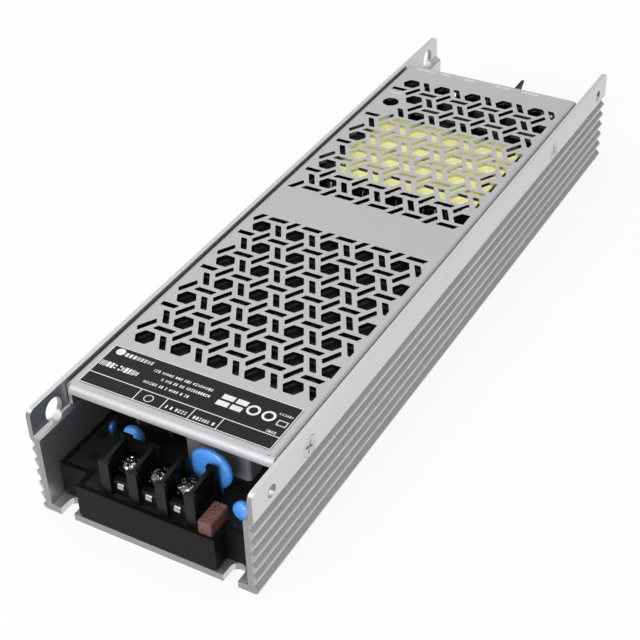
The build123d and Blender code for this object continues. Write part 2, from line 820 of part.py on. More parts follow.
with BuildPart() as trimmer_rotor:
    rotor_bottom = board_top + trimmer_height - trimmer_well + rotor_gap
    with BuildSketch(Plane.XY.offset(rotor_bottom)):
        with Locations((adjust_hole_x, adjust_hole_y)):
            Circle(rotor_diameter / 2)
    extrude(amount=rotor_thickness)
    with BuildSketch(Plane.XY.offset(rotor_bottom + rotor_thickness)):
        with Locations((adjust_hole_x, adjust_hole_y)):
            Rectangle(rotor_slot_width, rotor_diameter)
    extrude(amount=-rotor_slot_depth, mode=Mode.SUBTRACT)
finish("trimmer_rotor", trimmer_rotor)

# Film bent over the mains section: two sides standing on the tray rim and a flat top.
with BuildPart() as insulating_film:
    film_top = cover_underside - film_top_gap
    with BuildSketch(Plane.XZ.offset(-film_rear)) as film_profile:
        with Locations((0, tray_top)):
            Rectangle(2 * film_half, film_top - tray_top, align=(Align.CENTER, Align.MIN))
        fillet(film_profile.vertices().group_by(Axis.Y)[-1], radius=film_bend)
        with BuildSketch(mode=Mode.SUBTRACT) as film_hollow:
            with Locations((0, tray_top)):
                Rectangle(
                    2 * (film_half - film_thickness),
                    film_top - film_thickness - tray_top,
                    align=(Align.CENTER, Align.MIN),
                )
            fillet(film_hollow.vertices().group_by(Axis.Y)[-1], radius=film_bend - film_thickness)
    extrude(amount=film_rear - film_front)
finish("insulating_film", insulating_film)
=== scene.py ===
import json
import math
import random

import bmesh
import bpy
from mathutils import Matrix, Vector

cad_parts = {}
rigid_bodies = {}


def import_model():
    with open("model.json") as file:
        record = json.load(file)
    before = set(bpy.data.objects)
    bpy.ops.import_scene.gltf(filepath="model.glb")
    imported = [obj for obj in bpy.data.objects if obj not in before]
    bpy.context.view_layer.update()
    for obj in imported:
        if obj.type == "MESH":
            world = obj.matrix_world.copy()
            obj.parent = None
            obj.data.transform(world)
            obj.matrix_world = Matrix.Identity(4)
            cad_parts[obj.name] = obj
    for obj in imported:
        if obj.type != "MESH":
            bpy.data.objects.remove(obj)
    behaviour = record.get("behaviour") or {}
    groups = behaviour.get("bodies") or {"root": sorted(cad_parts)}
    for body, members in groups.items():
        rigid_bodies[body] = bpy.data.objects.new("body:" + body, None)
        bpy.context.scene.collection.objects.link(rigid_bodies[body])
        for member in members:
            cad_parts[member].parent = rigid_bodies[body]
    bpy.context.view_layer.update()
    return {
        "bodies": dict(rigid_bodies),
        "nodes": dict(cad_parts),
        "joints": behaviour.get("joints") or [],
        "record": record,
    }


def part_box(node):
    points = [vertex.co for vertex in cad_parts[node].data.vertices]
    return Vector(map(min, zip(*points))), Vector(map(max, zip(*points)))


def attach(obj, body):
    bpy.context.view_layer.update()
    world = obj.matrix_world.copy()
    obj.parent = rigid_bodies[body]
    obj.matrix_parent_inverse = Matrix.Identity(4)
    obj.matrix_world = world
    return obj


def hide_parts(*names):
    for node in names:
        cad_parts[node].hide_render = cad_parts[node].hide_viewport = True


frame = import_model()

nodes = frame["nodes"]
mm = 0.001
print("frame loaded:", len(nodes), "pieces")


# A number socket that can be used in Python arithmetic
class Wire:
    def __init__(self, finish, socket):
        self.finish = finish
        self.socket = socket

    def maths(self, operation, first, second=0.0):
        return self.finish.add("ShaderNodeMath", {"operation": operation}, {0: first, 1: second})

    def __add__(self, other):
        return self.maths("ADD", self, other)

    def __radd__(self, other):
        return self.maths("ADD", other, self)

    def __sub__(self, other):
        return self.maths("SUBTRACT", self, other)

    def __rsub__(self, other):
        return self.maths("SUBTRACT", other, self)

    def __mul__(self, other):
        return self.maths("MULTIPLY", self, other)

    def __rmul__(self, other):
        return self.maths("MULTIPLY", other, self)

    def __truediv__(self, other):
        return self.maths("DIVIDE", self, other)

    def __rtruediv__(self, other):
        return self.maths("DIVIDE", other, self)

    def __gt__(self, other):
        return self.maths("GREATER_THAN", self, other)

    def __lt__(self, other):
        return self.maths("LESS_THAN", self, other)

    def clipped(self):
        return self.maths("MAXIMUM", self.maths("MINIMUM", self, 1.0), 0.0)

    def absolute(self):
        return self.maths("ABSOLUTE", self)

    def fraction(self):
        return self.maths("FRACT", self)


# A shader node tree under construction
class Wiring:
    def __init__(self, tree):
        self.tree = tree

    def add(self, kind, settings, sockets, output=0):
        node = self.tree.nodes.new(kind)
        for key, value in settings.items():
            if key == "stops":
                self.setStops(node, value)
            else:
                setattr(node, key, value)
        for key, value in sockets.items():
            self.plug(node.inputs[key], value)
        return Wire(self, node.outputs[output])

    def setStops(self, node, stops):
        elements = node.color_ramp.elements
        while len(elements) < len(stops):
            elements.new(0.5)
        for element, (place, shade) in zip(elements, stops):
            element.position = place
            element.color = (shade, shade, shade, 1)

    def plug(self, socket, value):
        if isinstance(value, Wire):
            self.tree.links.new(value.socket, socket)
        elif socket.type == "RGBA" and len(value) == 3:
            socket.default_value = (*value, 1)
        else:
            socket.default_value = value

    def ramp(self, value, stops):
        return self.add("ShaderNodeValToRGB", {"stops": stops}, {"Fac": value})

    # Colour mix: sockets 0, 6 and 7 are its factor and colours, output 2 is the colour
    def blend(self, mask, first, second):
        return self.add("ShaderNodeMix", {"data_type": "RGBA"}, {0: mask, 6: first, 7: second}, 2)


# A material under construction
class Finish(Wiring):
    def __init__(self, name):
        self.material = bpy.data.materials.new(name)
        self.material.use_nodes = True
        super().__init__(self.material.node_tree)
        self.shader = self.tree.nodes["Principled BSDF"]

    def set(self, **sockets):
        for key, value in sockets.items():
            self.plug(self.shader.inputs[key.replace("_", " ")], value)

    def place(self, scale=(1, 1, 1)):
        where = self.add("ShaderNodeTexCoord", {}, {}, "Object")
        return self.add("ShaderNodeMapping", {}, {"Vector": where, "Scale": scale})

    def noise(self, scale, detail=2.0, stretch=(1, 1, 1), roughness=0.5, distortion=0.0):
        sockets = {
            "Vector": self.place(stretch),
            "Scale": scale,
            "Detail": detail,
            "Roughness": roughness,
            "Distortion": distortion,
        }
        return self.add("ShaderNodeTexNoise", {}, sockets, "Fac")

    def along(self, axis):
        where = self.add("ShaderNodeTexCoord", {}, {}, "Object")
        return self.add("ShaderNodeSeparateXYZ", {}, {"Vector": where}, axis)

    # 1 on a face square to the axis, on either side of the piece, and 0 on one along it
    def facingAlong(self, axis):
        normal = self.add("ShaderNodeTexCoord", {}, {}, "Normal")
        return self.add("ShaderNodeSeparateXYZ", {}, {"Vector": normal}, axis).absolute()

    def bump(self, height, strength, distance):
        return self.add(
            "ShaderNodeBump", {}, {"Height": height, "Strength": strength, "Distance": distance}
        )


# Colour made darker or lighter
def shaded(colour, factor):
    return tuple(min(1.0, part * factor) for part in colour)


# Anodised aluminium: fine speckle, faint die lines along the length and soft handling marks
anodised = {
    "speckleScale": 2600.0,
    "speckleRoughness": 0.08,
    "dieScale": 900.0,
    "dieStretch": (1.0, 0.02, 1.0),
    "markScale": 60.0,
    "markStretch": (1.0, 0.6, 1.0),
    "markShade": 0.12,
    "markRoughness": 0.10,
    "middleShade": 0.44,
    "darkest": 0.80,
    "lightest": 1.20,
    "speckleRelief": 0.8,
    "dieRelief": 0.5,
    "reliefStrength": 0.35,
    "reliefDepth": 0.00004,
}


# addMarksAndPaintedLight changes colour and roughness where the piece differs from a plain face, and paints
# light and shade there
def aluminiumFinish(name, metal, addMarksAndPaintedLight):
    finish = Finish(name)
    speckle, lines = metal["speckle"], metal["lines"]
    grain = finish.noise(anodised["speckleScale"], 3.0, roughness=0.7)
    dieLines = finish.noise(anodised["dieScale"], 2.0, anodised["dieStretch"])
    marks = finish.noise(anodised["markScale"], 3.0, anodised["markStretch"])
    middle = anodised["middleShade"] - speckle / 2 - lines / 2
    shade = (grain * speckle + dieLines * lines + marks * anodised["markShade"] + middle).clipped()
    colour = metal["colour"]
    face = finish.blend(shade, shaded(colour, anodised["darkest"]), shaded(colour, anodised["lightest"]))
    rough = metal["roughness"] + (marks - 0.5) * anodised["markRoughness"]
    rough = rough + (grain - 0.5) * anodised["speckleRoughness"]
    face, rough = addMarksAndPaintedLight(finish, face, rough)
    relief = grain * anodised["speckleRelief"] + dieLines * anodised["dieRelief"]
    finish.set(
        Base_Color=face,
        Metallic=metal["metallic"],
        Roughness=rough,
        Normal=finish.bump(relief, anodised["reliefStrength"], anodised["reliefDepth"]),
    )
    return finish.material


# Extruded channel; the heights and distances of its ribs are in metres
channelMetal = {
    "colour": (0.69, 0.69, 0.695),
    "roughness": 0.42,
    "metallic": 0.93,
    "speckle": 0.55,
    "lines": 0.35,
    "sawnFacing": 0.7,
    "sawnShare": 0.72,
    "sawnShade": 0.30,
    "ribValley": 0.0025,
    "ribPitch": 0.00366,
    "ribTop": 0.0222,
    "ribInside": 0.0297,
    "ribLitUpTo": 0.74,
    "ribLight": 1.44,
}


# Painted light on the overhanging face of each rib, and darker sawn ends
def paintRibLightAndSawnEnds(finish, face, rough):
    metal = channelMetal
    sawn = (finish.facingAlong("Y") > metal["sawnFacing"]) * metal["sawnShare"]
    up = finish.along("Z")
    rise = (up - metal["ribValley"]) / metal["ribPitch"]
    lit = (rise.fraction() < metal["ribLitUpTo"]) * (up < metal["ribTop"]) * (up > metal["ribValley"])
    lit = lit * (finish.along("X").absolute() > metal["ribInside"])
    # painted highlight: the lit rib faces are given a lighter colour
    face = finish.blend(lit, face, shaded(metal["colour"], metal["ribLight"]))
    return finish.blend(sawn, face, shaded(metal["colour"], metal["sawnShade"])), rough


# Sheet cover; the limits of its punched fields, taped coils and flanges are in metres
coverMetal = {
    "colour": (0.595, 0.60, 0.615),
    "roughness": 0.50,
    "metallic": 1.0,
    "speckle": 0.30,
    "lines": 0.08,
    "holeFacing": 0.5,
    "holeHalfWidth": 0.0271,
    "holeFront": -0.080,
    "holeWallPaintedShade": (0.075, 0.077, 0.085),
    "holePolish": 0.22,
    "tapeFront": 0.0175,
    "tapeRear": 0.0545,
    "tapeLeft": -0.0215,
    "paintedTapeReflection": (0.60, 0.60, 0.40),
    "flangeFrom": 0.0289,
    "flangeFront": -0.0952,
    "flangeFacing": 0.75,
    "flangeShade": 0.30,
}


# Painted shade on the walls of the holes, a painted yellow reflection of the tape on those walls over the
# taped coils, and painted shadow on the flanges' outer faces
def paintHoleAndFlangeShade(finish, face, rough):
    metal = coverMetal
    x = finish.along("X")
    y = finish.along("Y")
    wall = (x.absolute() < metal["holeHalfWidth"]) * (y > metal["holeFront"])
    wall = wall * (finish.facingAlong("Z") < metal["holeFacing"])
    overTape = (y > metal["tapeFront"]) * (y < metal["tapeRear"]) * (x > metal["tapeLeft"])
    # over the coils the hole walls get a painted yellow reflection of the tape
    paintedHoleWall = finish.blend(overTape, metal["holeWallPaintedShade"], metal["paintedTapeReflection"])
    flange = (x.absolute() > metal["flangeFrom"]) * (y > metal["flangeFront"])
    flange = flange * (finish.facingAlong("X") > metal["flangeFacing"])
    # painted shade on the hole walls
    face = finish.blend(wall, face, paintedHoleWall)
    # painted shadow of the ears on the flanges' outer faces
    face = finish.blend(flange, face, shaded(metal["colour"], metal["flangeShade"]))
    return face, rough - wall * metal["holePolish"]


# Black mouldings, films and inks: fine texture under soft smudges
moulded = {
    "grainScale": 1800.0,
    "smudgeScale": 140.0,
    "darkest": 0.75,
    "lightest": 1.35,
    "smudgeRoughness": 0.16,
    "reliefStrength": 0.4,
}


def mouldedFinish(name, colour, roughness, coarse=1.0, depth=0.00003, shine=0.22):
    finish = Finish(name)
    grain = finish.noise(moulded["grainScale"] * coarse, 2.0)
    smudge = finish.noise(moulded["smudgeScale"], 3.0)
    finish.set(
        Base_Color=finish.blend(
            smudge, shaded(colour, moulded["darkest"]), shaded(colour, moulded["lightest"])
        ),
        Roughness=roughness + (smudge - 0.5) * moulded["smudgeRoughness"],
        Specular_IOR_Level=shine,
        Normal=finish.bump(grain, moulded["reliefStrength"], depth),
    )
    return finish.material


# Plated steel: lengthwise scratches and faint stains
plated = {
    "scratchScale": 700.0,
    "scratchStretch": (1.0, 0.12, 1.0),
    "scratchStrength": 0.3,
    "scratchDepth": 0.00003,
    "stainScale": 260.0,
    "stainRoughness": 0.18,
    "darkest": 0.78,
    "lightest": 1.15,
}


def platedFinish(name, colour, roughness):
    finish = Finish(name)
    scratches = finish.noise(plated["scratchScale"], 4.0, plated["scratchStretch"], 0.65)
    stain = finish.noise(plated["stainScale"], 3.0)
    finish.set(
        Base_Color=finish.blend(
            stain, shaded(colour, plated["darkest"]), shaded(colour, plated["lightest"])
        ),
        Metallic=1.0,
        Roughness=roughness + (stain - 0.5) * plated["stainRoughness"],
        Normal=finish.bump(scratches, plated["scratchStrength"], plated["scratchDepth"]),
    )
    return finish.material


# Plating painted dark as a painted reflection of dark surroundings, with random bright patches that are
# painted glints
screwGlints = {
    "patchScale": 1100.0,
    "patchDistortion": 0.6,
    "patchStops": [(0.53, 0.0), (0.62, 1.0)],
    "darkest": 0.12,
    "roughness": 0.14,
    "patchRoughness": 0.12,
    "dentScale": 800.0,
    "dentStrength": 0.35,
    "dentDepth": 0.00008,
}


def screwFinish(name, colour):
    finish = Finish(name)
    patches = finish.noise(screwGlints["patchScale"], 2.0, distortion=screwGlints["patchDistortion"])
    glints = finish.ramp(patches, screwGlints["patchStops"])
    dents = finish.noise(screwGlints["dentScale"], 3.0)
    finish.set(
        # painted reflection: dark plating for dark surroundings, bright patches for glints
        Base_Color=finish.blend(glints, shaded(colour, screwGlints["darkest"]), colour),
        Metallic=1.0,
        Roughness=screwGlints["roughness"] + glints * screwGlints["patchRoughness"],
        Normal=finish.bump(dents, screwGlints["dentStrength"], screwGlints["dentDepth"]),
    )
    return finish.material


# Dipped epoxy: glossy, lumpy and slightly mottled
epoxy = {
    "lumpScale": 330.0,
    "lumpStrength": 0.5,
    "lumpDepth": 0.0002,
    "mottleScale": 900.0,
    "darkest": 0.82,
    "lightest": 1.12,
    "roughness": 0.18,
    "lumpRoughness": 0.12,
    "coat": 0.5,
}


def epoxyFinish(name, colour):
    finish = Finish(name)
    lumps = finish.noise(epoxy["lumpScale"], 2.0)
    mottle = finish.noise(epoxy["mottleScale"], 3.0)
    finish.set(
        Base_Color=finish.blend(
            mottle, shaded(colour, epoxy["darkest"]), shaded(colour, epoxy["lightest"])
        ),
        Roughness=epoxy["roughness"] + lumps * epoxy["lumpRoughness"],
        Coat_Weight=epoxy["coat"],
        Normal=finish.bump(lumps, epoxy["lumpStrength"], epoxy["lumpDepth"]),
    )
    return finish.material


# Grainy moulding with pale flecks that stand for print, and mostly on top for painted glints
fuseBody = {
    "grainScale": 1500.0,
    "grainStrength": 0.6,
    "grainDepth": 0.00006,
    "fleckScale": 3800.0,
    "fleckStops": [(0.54, 0.0), (0.70, 0.8)],
    "fleckColour": (0.62, 0.48, 0.46),
    "paintedGlintOnTop": 0.5,
    "fleckElsewhere": 0.15,
    "darkest": 0.45,
    "lightest": 1.35,
    "roughness": 0.38,
    "grainRoughness": 0.2,
}


def fuseFinish(name, colour):
    finish = Finish(name)
    grain = finish.noise(fuseBody["grainScale"], 4.0, roughness=0.75)
    flecks = finish.ramp(finish.noise(fuseBody["fleckScale"], 2.0), fuseBody["fleckStops"])
    # painted highlight: more pale flecks on top faces
    share = finish.facingAlong("Z") * fuseBody["paintedGlintOnTop"] + fuseBody["fleckElsewhere"]
    body = finish.blend(grain, shaded(colour, fuseBody["darkest"]), shaded(colour, fuseBody["lightest"]))
    finish.set(
        Base_Color=finish.blend(flecks * share, body, fuseBody["fleckColour"]),
        Roughness=fuseBody["roughness"] + grain * fuseBody["grainRoughness"],
        Normal=finish.bump(grain, fuseBody["grainStrength"], fuseBody["grainDepth"]),
    )
    return finish.material


# Polyester tape wound round a coil; its slight glow is painted light
wrapped = {
    "wrapScale": 120.0,
    "wrapStretch": (1.0, 0.2, 1.0),
    "overlapScale": 85.0,
    "overlapStretch": (1.0, 0.02, 0.02),
    "overlapStops": [(0.48, 0.0), (0.5, 1.0)],
    "wrapShare": 0.7,
    "darkest": 0.86,
    "lightest": 1.08,
    "roughness": 0.34,
    "wrapRoughness": 0.15,
    "wrapRelief": 0.3,
    "reliefStrength": 0.4,
    "reliefDepth": 0.00008,
    "paintedGlow": 0.28,
}


def tapeFinish(name, colour):
    finish = Finish(name)
    wrap = finish.noise(wrapped["wrapScale"], 2.0, wrapped["wrapStretch"])
    overlap = finish.ramp(
        finish.noise(wrapped["overlapScale"], 0.0, wrapped["overlapStretch"]), wrapped["overlapStops"]
    )
    shade = wrap * wrapped["wrapShare"] + overlap * (1 - wrapped["wrapShare"])
    relief = overlap + wrap * wrapped["wrapRelief"]
    finish.set(
        Base_Color=finish.blend(
            shade, shaded(colour, wrapped["darkest"]), shaded(colour, wrapped["lightest"])
        ),
        Roughness=wrapped["roughness"] + wrap * wrapped["wrapRoughness"],
        Normal=finish.bump(relief, wrapped["reliefStrength"], wrapped["reliefDepth"]),
        # painted light: the tape glows
        Emission_Color=colour,
        Emission_Strength=wrapped["paintedGlow"],
    )
    return finish.material


# Enamelled wire: turns side by side as bands
wound = {
    "turnScale": 420.0,
    "distortion": 1.2,
    "darkest": 0.45,
    "lightest": 1.2,
    "metallic": 0.65,
    "roughness": 0.30,
    "reliefStrength": 0.7,
    "reliefDepth": 0.0002,
}


def windingFinish(name, colour):
    finish = Finish(name)
    turns = finish.add(
        "ShaderNodeTexWave",
        {"wave_type": "BANDS", "bands_direction": "DIAGONAL"},
        {
            "Vector": finish.place(),
            "Scale": wound["turnScale"],
            "Distortion": wound["distortion"],
            "Detail": 1.0,
        },
        "Fac",
    )
    finish.set(
        Base_Color=finish.blend(turns, shaded(colour, wound["darkest"]), shaded(colour, wound["lightest"])),
        Metallic=wound["metallic"],
        Roughness=wound["roughness"],
        Normal=finish.bump(turns, wound["reliefStrength"], wound["reliefDepth"]),
    )
    return finish.material


# Solder mask over copper tracks
masked = {
    "trackScale": 260.0,
    "trackStops": [(0.30, 0.0), (0.33, 1.0)],
    "darkest": 0.7,
    "lightest": 1.5,
    "roughness": 0.36,
    "shine": 0.25,
    "reliefStrength": 0.3,
    "reliefDepth": 0.00004,
}


def boardFinish(name, colour):
    finish = Finish(name)
    cells = finish.add(
        "ShaderNodeTexVoronoi",
        {"distance": "CHEBYCHEV"},
        {"Vector": finish.place(), "Scale": masked["trackScale"]},
    )
    tracks = finish.ramp(cells, masked["trackStops"])
    finish.set(
        Base_Color=finish.blend(
            tracks, shaded(colour, masked["darkest"]), shaded(colour, masked["lightest"])
        ),
        Roughness=masked["roughness"],
        Specular_IOR_Level=masked["shine"],
        Normal=finish.bump(tracks, masked["reliefStrength"], masked["reliefDepth"]),
    )
    return finish.material


finishes = {
    "case": aluminiumFinish("caseAluminium", channelMetal, paintRibLightAndSawnEnds),
    "cover": aluminiumFinish("coverAluminium", coverMetal, paintHoleAndFlangeShade),
    "ink": mouldedFinish("labelInk", (0.80, 0.80, 0.80), 0.45, shine=0.3),
    "coverInk": mouldedFinish("printInk", (0.92, 0.92, 0.93), 0.5, shine=0.3),
    "label": mouldedFinish("labelFilm", (0.008, 0.008, 0.009), 0.36, shine=0.2),
    "tray": mouldedFinish("trayMoulding", (0.005, 0.005, 0.0055), 0.42, shine=0.1),
    "block": mouldedFinish("terminalMoulding", (0.0055, 0.0055, 0.006), 0.34, shine=0.16),
    "film": mouldedFinish("blackFilm", (0.010, 0.010, 0.011), 0.22, 0.4),
    "plate": platedFinish("tinnedPlate", (0.46, 0.45, 0.43), 0.20),
    "screw": screwFinish("nickelScrew", (0.90, 0.86, 0.80)),
    "coverScrew": platedFinish("coverScrewSteel", (0.62, 0.62, 0.63), 0.34),
    "clip": platedFinish("springClip", (0.45, 0.45, 0.46), 0.35),
    "epoxy": epoxyFinish("blueEpoxy", (0.085, 0.34, 0.97)),
    # the blue epoxy painted darker as shade, for the disc deep under the cover
    "epoxyInPaintedShade": epoxyFinish("blueEpoxyPaintedShade", (0.03, 0.11, 0.34)),
    "fuse": fuseFinish("fuseMoulding", (0.135, 0.048, 0.044)),
    "box": mouldedFinish("capacitorBox", (0.23, 0.23, 0.25), 0.42),
    "tape": tapeFinish("yellowTape", (0.97, 0.95, 0.50)),
    "copper": windingFinish("enamelledCopper", (0.60, 0.24, 0.09)),
    "darkEnamel": windingFinish("darkEnamel", (0.050, 0.030, 0.016)),
    "ferrite": mouldedFinish("ferrite", (0.020, 0.020, 0.022), 0.55, 0.6, 0.00006),
    "board": boardFinish("boardLaminate", (0.010, 0.011, 0.0105)),
    "chip": mouldedFinish("transistorMoulding", (0.010, 0.010, 0.011), 0.45),
    "sleeve": mouldedFinish("capacitorSleeve", (0.010, 0.010, 0.014), 0.28),
    "trimmer": mouldedFinish("trimmerMoulding", (0.05, 0.12, 0.35), 0.40),
    "rotor": mouldedFinish("trimmerRotor", (0.65, 0.63, 0.58), 0.40),
}

# Solids that have each finish
solidsWith = {
    "case": ["case"],
    "cover": ["cover"],
    "label": ["rating_label"],
    "coverScrew": ["cover_screws"],
    "tray": ["tray"],
    "board": ["circuit_board", "control_board"],
    "block": ["input_terminal_block", "output_terminal_block"],
    "plate": ["input_terminal_plates", "output_terminal_plates"],
    "screw": ["input_terminal_screws", "input_clamp_washers", "output_terminal_screws"],
    "fuse": ["fuse"],
    "box": ["x_capacitor"],
    "epoxy": ["varistor", "y_capacitor_left", "y_capacitor_side", "y_capacitor_right"],
    "ferrite": [
        "filter_choke_core",
        "boost_choke_core",
        "transformer_core_front",
        "transformer_core_rear",
        "rail_chokes",
    ],
    "copper": ["filter_choke_windings", "boost_choke_winding"],
    "chip": ["bridge_rectifier", "primary_transistors", "output_transistors"],
    "sleeve": ["reservoir_capacitor_left", "reservoir_capacitor_right", "smoothing_capacitors"],
    "clip": ["primary_clip", "output_clip"],
    "tape": ["transformer_coil_front", "transformer_coil_rear"],
    "trimmer": ["trimmer_body"],
    "rotor": ["trimmer_rotor"],
    "film": ["insulating_film"],
}
nodeFinish = {name: finish for finish, names in solidsWith.items() for name in names}

# Width of the rounding on a solid's edges, in millimetres
edgeRounding = {
    "case": 0.14,
    "cover": 0.10,
    "tray": 0.25,
    "input_terminal_block": 0.16,
    "output_terminal_block": 0.16,
    "input_terminal_plates": 0.12,
    "output_terminal_plates": 0.12,
    "input_clamp_washers": 0.15,
    "input_terminal_screws": 0.25,
    "output_terminal_screws": 0.25,
    "fuse": 0.15,
    "circuit_board": 0.08,
    "bridge_rectifier": 0.20,
    "primary_transistors": 0.20,
    "output_transistors": 0.20,
}

# Rounding on every edge sharper than the angle, in degrees; corners within joinWithin mm are joined first
bevel = {"angle": 25, "segments": 2, "joinWithin": 0.002}


def addEdges(piece, width):
    edges = piece.modifiers.new("edges", "BEVEL")
    edges.width = width * mm
    edges.segments = bevel["segments"]
    edges.limit_method = "ANGLE"
    edges.angle_limit = math.radians(bevel["angle"])
    edges.use_clamp_overlap = True
    edges.harden_normals = False


for name, node in nodes.items():
    node.data.materials.clear()
    node.data.materials.append(finishes[nodeFinish[name]])
    if name in edgeRounding:
        join = node.modifiers.new("join", "WELD")
        join.merge_threshold = bevel["joinWithin"] * mm
        addEdges(node, edgeRounding[name])
print("finishes on", len(nodes), "pieces")


# Points round a full turn, in radians
def turnsOf(steps):
    return [2 * math.pi * step / steps for step in range(steps)]


# A skin under construction, in millimetres of the shared frame
class Skin:
    def __init__(self):
        self.corners = []
        self.faces = []

    def add(self, corners, faces):
        first = len(self.corners)
        self.corners += [Vector(corner) * mm for corner in corners]
        self.faces += [[first + index for index in face] for face in faces]

    # Rings of equal length joined in turn, with closed ends unless the rings loop
    def join(self, rings, looped=False):
        count = len(rings[0])
        faces = []
        for index in range(len(rings) if looped else len(rings) - 1):
            here = index * count
            there = (index + 1) % len(rings) * count
            for side in range(count):
                after = (side + 1) % count
                faces.append((here + side, here + after, there + after, there + side))
        if not looped:
            last = (len(rings) - 1) * count
            faces += [tuple(reversed(range(count))), tuple(range(last, last + count))]
        self.add([corner for ring in rings for corner in ring], faces)

    # Outline of (x, y) pairs raised between two heights
    def slab(self, outline, low, high):
        self.join([[(x, y, z) for x, y in outline] for z in (low, high)])

    def rectangle(self, left, right, front, rear, low, high):
        self.slab([(left, front), (right, front), (right, rear), (left, rear)], low, high)

    # Profile of (radius, height) pairs turned about the local Z of a frame
    def turned(self, profile, frame, steps):
        self.join([
            [
                frame @ Vector((radius * math.cos(angle), radius * math.sin(angle), rise))
                for angle in turnsOf(steps)
            ]
            for radius, rise in profile
        ])

    # Flat ring, such as a printed circle
    def ring(self, centre, radius, width, low, high, steps=32):
        section = [(radius, low), (radius, high), (radius - width, high), (radius - width, low)]
        x, y = centre
        self.join([
            [(x + reach * math.cos(angle), y + reach * math.sin(angle), z) for reach, z in section]
            for angle in turnsOf(steps)
        ], True)

    # Round bar along a path, with one radius or a list of them
    def bar(self, path, radius, sides=8):
        points = [Vector(point) for point in path]
        radii = radius if isinstance(radius, list) else [radius] * len(points)
        rings = []
        side = None
        for index, point in enumerate(points):
            before = points[max(index - 1, 0)]
            after = points[min(index + 1, len(points) - 1)]
            ahead = (after - before).normalized()
            if side is None:
                side = ahead.orthogonal()
            side = (side - ahead * side.dot(ahead)).normalized()
            other = ahead.cross(side)
            rings.append([
                point + (side * math.cos(angle) + other * math.sin(angle)) * radii[index]
                for angle in turnsOf(sides)
            ])
        self.join(rings)


# Object on the enclosure, smooth but for edges sharper than an angle in degrees
def addPiece(name, corners, faces, material, smooth, joinWithin=0.0):
    mesh = bpy.data.meshes.new(name)
    mesh.from_pydata(corners, [], faces)
    tidy = bmesh.new()
    tidy.from_mesh(mesh)
    if joinWithin:
        bmesh.ops.remove_doubles(tidy, verts=tidy.verts, dist=joinWithin * mm)
    bmesh.ops.recalc_face_normals(tidy, faces=tidy.faces)
    tidy.to_mesh(mesh)
    tidy.free()
    mesh.polygons.foreach_set("use_smooth", [True] * len(mesh.polygons))
    mesh.set_sharp_from_angle(angle=math.radians(smooth))
    mesh.materials.append(material)
    piece = bpy.data.objects.new(name, mesh)
    bpy.context.scene.collection.objects.link(piece)
    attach(piece, "enclosure")
    return piece


def makePiece(name, skin, finishName, stands=(), smooth=35):
    piece = addPiece(name, skin.corners, skin.faces, finishes[finishName], smooth)
    if stands:
        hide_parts(*stands)
    return piece


# Corners of a node's box in millimetres
def boxOf(name):
    low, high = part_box(name)
    return Vector(low) / mm, Vector(high) / mm


# Copy of a solid's skin with its corners moved, which stands for the solid
def reshape(node, name, moved):
    source = nodes[node].data
    corners = [Vector(moved(*(corner.co / mm))) * mm for corner in source.vertices]
    faces = [list(face.vertices) for face in source.polygons]
    piece = addPiece(name, corners, faces, finishes[nodeFinish[node]], 32, bevel["joinWithin"])
    addEdges(piece, edgeRounding.get(node, 0.1))
    normals = piece.modifiers.new("normals", "WEIGHTED_NORMAL")
    normals.keep_sharp = True
    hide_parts(node)


# Ears of the channel, thinned from inside above the ledge; this and the next shapes in millimetres
ears = {"inner": 29.3, "thinning": 0.4, "ledge": 22.6, "reach": 0.02}


def thinEar(x, y, z):
    if abs(abs(x) - ears["inner"]) < ears["reach"] and z > ears["ledge"]:
        x = math.copysign(abs(x) + ears["thinning"], x)
    return x, y, z


# Cover with its bends moved out and a shorter lip
lip = {
    "start": -96.45,
    "back": 0.5,
    "bottom": 28.3,
    "rise": 1.0,
    "left": -27.5,
    "right": 27.58,
    "bendStart": 27.3,
    "bendShift": 0.18,
}


def shortLip(x, y, z):
    ahead = y < lip["start"]
    if abs(x) > lip["bendStart"]:
        if ahead:
            x = lip["right"] if x > 0 else lip["left"]
        else:
            x = math.copysign(abs(x) + lip["bendShift"], x)
    if ahead:
        y += lip["back"]
        if z < lip["bottom"]:
            z += lip["rise"]
    return x, y, z


# Mains barriers that fall towards the front, and the wall behind two ways made low
barriers = {
    "top": 22.85,
    "fall": 1.0,
    "rear": -98.0,
    "depth": 10.4,
    "wallTop": 21.9,
    "wallLow": 15.8,
    "lowFrom": -3.1,
    "reach": 0.02,
}


def fallingBarrier(x, y, z):
    if abs(z - barriers["wallTop"]) < barriers["reach"] and x > barriers["lowFrom"]:
        z = barriers["wallLow"]
    if z > barriers["top"]:
        z -= barriers["fall"] * (barriers["rear"] - y) / barriers["depth"]
    return x, y, z


# Tangs of the mains plates, narrower and shorter
tangs = {"back": -106.5, "bottom": 12.7, "rise": 2.2, "share": 0.38, "middle": 0.85, "pitch": 7.95}


def shortTang(x, y, z):
    if y < tangs["back"]:
        way = round((x - tangs["middle"]) / tangs["pitch"])
        middle = tangs["middle"] + way * tangs["pitch"]
        x = middle + (x - middle) * tangs["share"]
        if z < tangs["bottom"]:
            z += tangs["rise"]
    return x, y, z


# Taped coils: the front face of one and the rear face of the other moved back
coils = {"front": 21.0, "frontBack": 1.6, "rear": 50.0, "rearBack": 1.9}


def frontCoil(x, y, z):
    return x, y + (coils["frontBack"] if y < coils["front"] else 0), z


def rearCoil(x, y, z):
    return x, y + (coils["rearBack"] if y > coils["rear"] else 0), z


reshape("case", "case_channel", thinEar)
reshape("cover", "cover_sheet", shortLip)
reshape("input_terminal_block", "input_terminal_strip", fallingBarrier)
reshape("input_terminal_plates", "input_terminal_tabs", shortTang)
reshape("transformer_coil_front", "transformer_tape_front", frontCoil)
reshape("transformer_coil_rear", "transformer_tape_rear", rearCoil)
print("slimmer edges")


